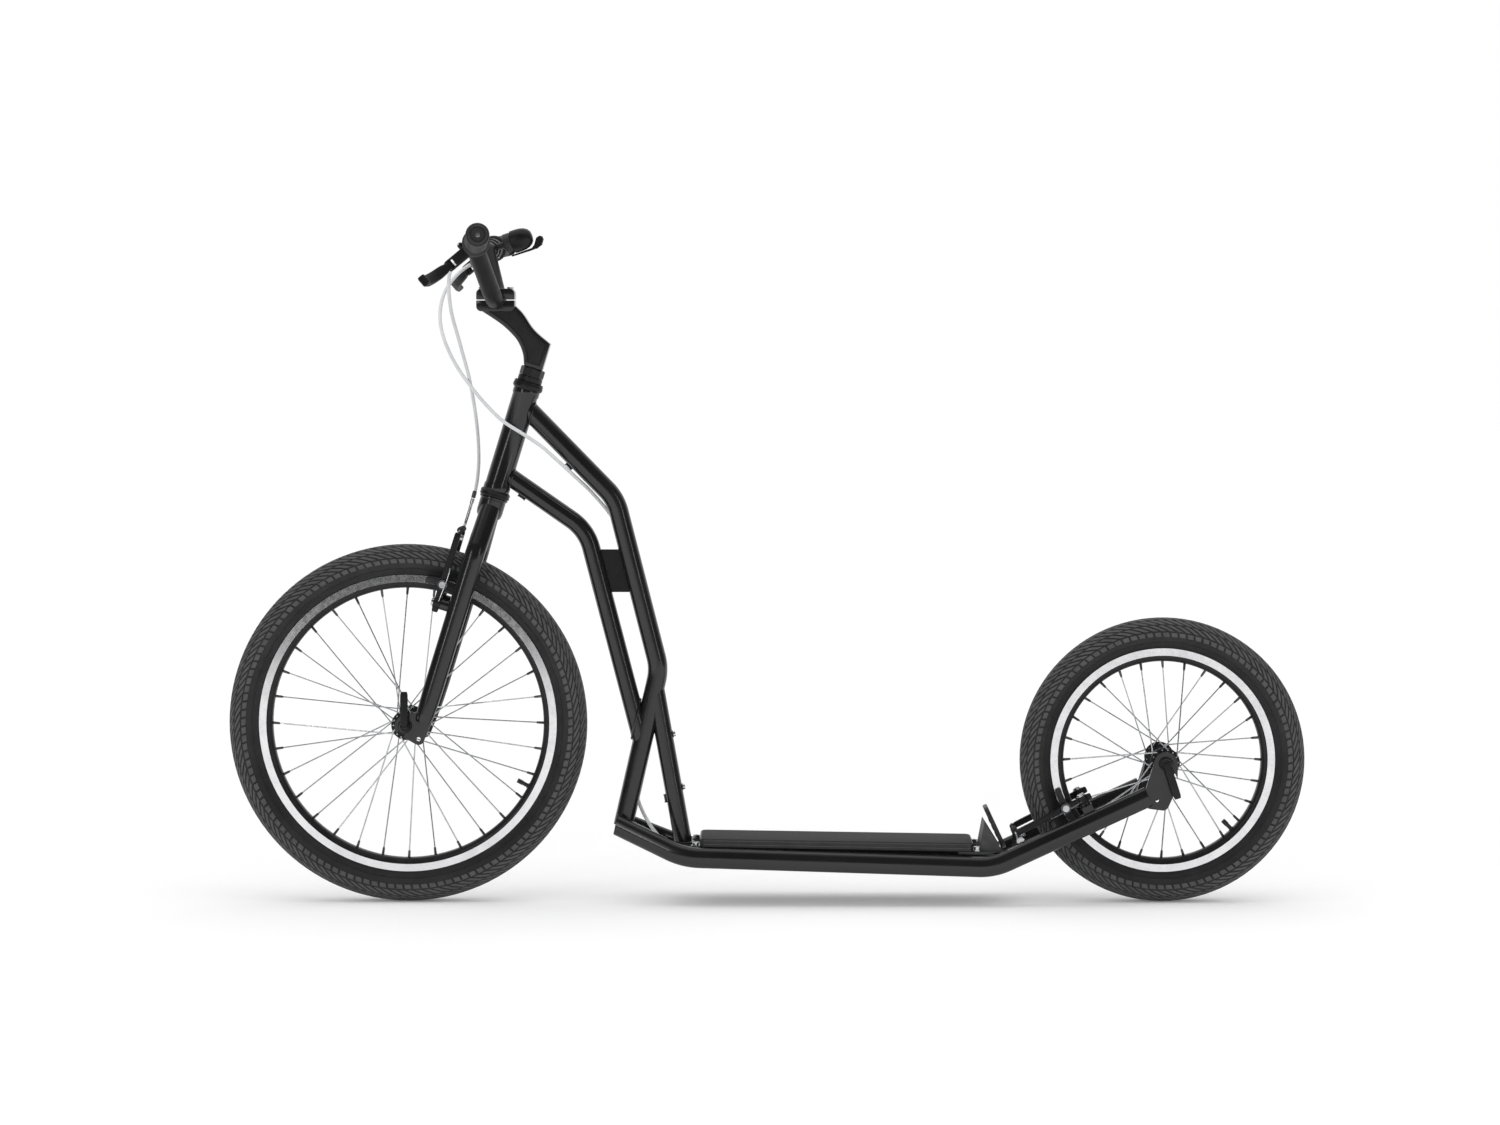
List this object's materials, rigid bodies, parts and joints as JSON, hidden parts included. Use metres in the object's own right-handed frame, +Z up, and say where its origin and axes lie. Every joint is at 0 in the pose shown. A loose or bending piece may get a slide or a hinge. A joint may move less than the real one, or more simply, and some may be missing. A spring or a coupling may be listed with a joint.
{
  "type": "kick bike",
  "caption": "Adult kick scooter with a large front and a smaller rear spoked wheel, low footboard, riser handlebar, rim brakes and quick-release axles.",
  "frame": {"origin": "on the ground, under the middle of the whole length and width", "axes": "+X from the front wheel towards the rear wheel, +Y towards the rider's right, +Z up"},
  "size_m": [1.525, 0.6168, 0.9574],
  "materials": {
    "gloss_frame": "gloss",
    "gloss_alloy": "gloss",
    "black_alloy": "satin",
    "rim": "satin",
    "bright_steel": "gloss",
    "tyre": "matte",
    "grip": "matte",
    "black_plastic": "satin",
    "deck": "matte",
    "cable": "satin"
  },
  "bodies": {
    "frame": {"head_tube": "gloss_frame", "upper_main_tube": "gloss_frame", "lower_main_tube": "gloss_frame", "gusset_plate": "gloss_frame", "strut_tube": "gloss_frame", "left_rail": "gloss_frame", "right_rail": "gloss_frame", "front_crossmember": "gloss_frame", "rear_crossmember": "gloss_frame", "footboard": "deck", "heel_guard": "black_plastic", "lower_headset_cup": "black_alloy", "upper_headset_cup": "black_alloy", "rear_skewer": "bright_steel", "rear_skewer_nut": "black_alloy", "rear_brake_noodle": "bright_steel", "rear_brake_cable": "cable"},
    "steering": {"fork": "gloss_frame", "headset_nut": "black_alloy", "stem": "gloss_alloy", "stem_cap": "gloss_alloy", "handlebar": "gloss_alloy", "left_grip": "grip", "right_grip": "grip", "left_bar_plug": "black_plastic", "right_bar_plug": "black_plastic", "left_lever_bracket": "black_alloy", "right_lever_bracket": "black_alloy", "bell_base": "black_plastic", "bell_dome": "black_alloy", "front_skewer": "bright_steel", "front_skewer_nut": "black_alloy", "front_brake_noodle": "bright_steel", "front_brake_cable": "cable"},
    "front_wheel": {"front_tyre": "tyre", "front_inner_tube": "tyre", "front_rim": "rim", "front_hub": "black_alloy", "front_spokes_left": "bright_steel", "front_spokes_right": "bright_steel"},
    "rear_wheel": {"rear_tyre": "tyre", "rear_inner_tube": "tyre", "rear_rim": "rim", "rear_hub": "black_alloy", "rear_spokes_left": "bright_steel", "rear_spokes_right": "bright_steel"},
    "left_lever": {"left_brake_lever": "black_alloy"},
    "right_lever": {"right_brake_lever": "black_alloy"},
    "front_left_arm": {"front_brake_left_arm": "black_alloy", "front_brake_left_pad": "black_plastic"},
    "front_right_arm": {"front_brake_right_arm": "black_alloy", "front_brake_right_pad": "black_plastic"},
    "rear_left_arm": {"rear_brake_left_arm": "black_alloy", "rear_brake_left_pad": "black_plastic"},
    "rear_right_arm": {"rear_brake_right_arm": "black_alloy", "rear_brake_right_pad": "black_plastic"},
    "bell_lever": {"bell_lever": "black_plastic"},
    "front_skewer_lever": {"front_skewer_lever": "black_alloy"},
    "rear_skewer_lever": {"rear_skewer_lever": "black_alloy"}
  },
  "joints": [
    {"name": "steering_turn", "type": "hinge", "parent": "frame", "child": "steering", "pos_m": [-0.36113, 0, 0.65433], "axis": [0.2957, 0, 0.9553], "range_deg": [-75, 75], "deforming": ["rear_brake_cable"]},
    {"name": "front_wheel_spin", "type": "hinge", "parent": "steering", "child": "front_wheel", "pos_m": [-0.5085, 0, 0.254], "axis": [0, 1, 0], "continuous": true},
    {"name": "rear_wheel_spin", "type": "hinge", "parent": "frame", "child": "rear_wheel", "pos_m": [0.5605, 0, 0.202], "axis": [0, 1, 0], "continuous": true},
    {"name": "left_lever_pull", "type": "hinge", "parent": "steering", "child": "left_lever", "pos_m": [-0.43266, -0.16284, 0.89905], "axis": [-0.6428, -0.0107, 0.766], "range_deg": [0, 16], "stiffness_Nm_per_rad": 0.6, "springref_deg": -11.46},
    {"name": "right_lever_pull", "type": "hinge", "parent": "steering", "child": "right_lever", "pos_m": [-0.43266, 0.16284, 0.89905], "axis": [0.6428, -0.0107, -0.766], "range_deg": [0, 16], "stiffness_Nm_per_rad": 0.6, "springref_deg": -11.46},
    {"name": "front_left_arm_close", "type": "hinge", "parent": "steering", "child": "front_left_arm", "pos_m": [-0.46398, -0.04, 0.42689], "axis": [-0.9553, 0, 0.2957], "range_deg": [0, 4]},
    {"name": "front_right_arm_close", "type": "hinge", "parent": "steering", "child": "front_right_arm", "pos_m": [-0.46398, 0.04, 0.42689], "axis": [0.9553, 0, -0.2957], "range_deg": [0, 4]},
    {"name": "rear_left_arm_close", "type": "hinge", "parent": "frame", "child": "rear_left_arm", "pos_m": [0.44544, -0.04, 0.14939], "axis": [0.454, 0, -0.891], "range_deg": [0, 4]},
    {"name": "rear_right_arm_close", "type": "hinge", "parent": "frame", "child": "rear_right_arm", "pos_m": [0.44544, 0.04, 0.14939], "axis": [-0.454, 0, 0.891], "range_deg": [0, 4]},
    {"name": "bell_lever_press", "type": "hinge", "parent": "steering", "child": "bell_lever", "pos_m": [-0.3679, 0.13551, 0.91732], "axis": [0.0911, 0.9939, 0.0625], "range_deg": [0, 20], "stiffness_Nm_per_rad": 0.05, "springref_deg": -11.46},
    {"name": "front_skewer_lever_open", "type": "hinge", "parent": "steering", "child": "front_skewer_lever", "pos_m": [-0.5085, -0.0714, 0.254], "axis": [1, 0, 0], "range_deg": [0, 170]},
    {"name": "rear_skewer_lever_open", "type": "hinge", "parent": "frame", "child": "rear_skewer_lever", "pos_m": [0.5605, -0.0764, 0.202], "axis": [-0.9511, 0, -0.309], "range_deg": [0, 170]}
  ],
  "couplings": [
    {"joint": "front_left_arm_close", "follows": "left_lever_pull", "ratio": 0.25},
    {"joint": "front_right_arm_close", "follows": "left_lever_pull", "ratio": 0.25},
    {"joint": "rear_left_arm_close", "follows": "right_lever_pull", "ratio": 0.25},
    {"joint": "rear_right_arm_close", "follows": "right_lever_pull", "ratio": 0.25}
  ]
}
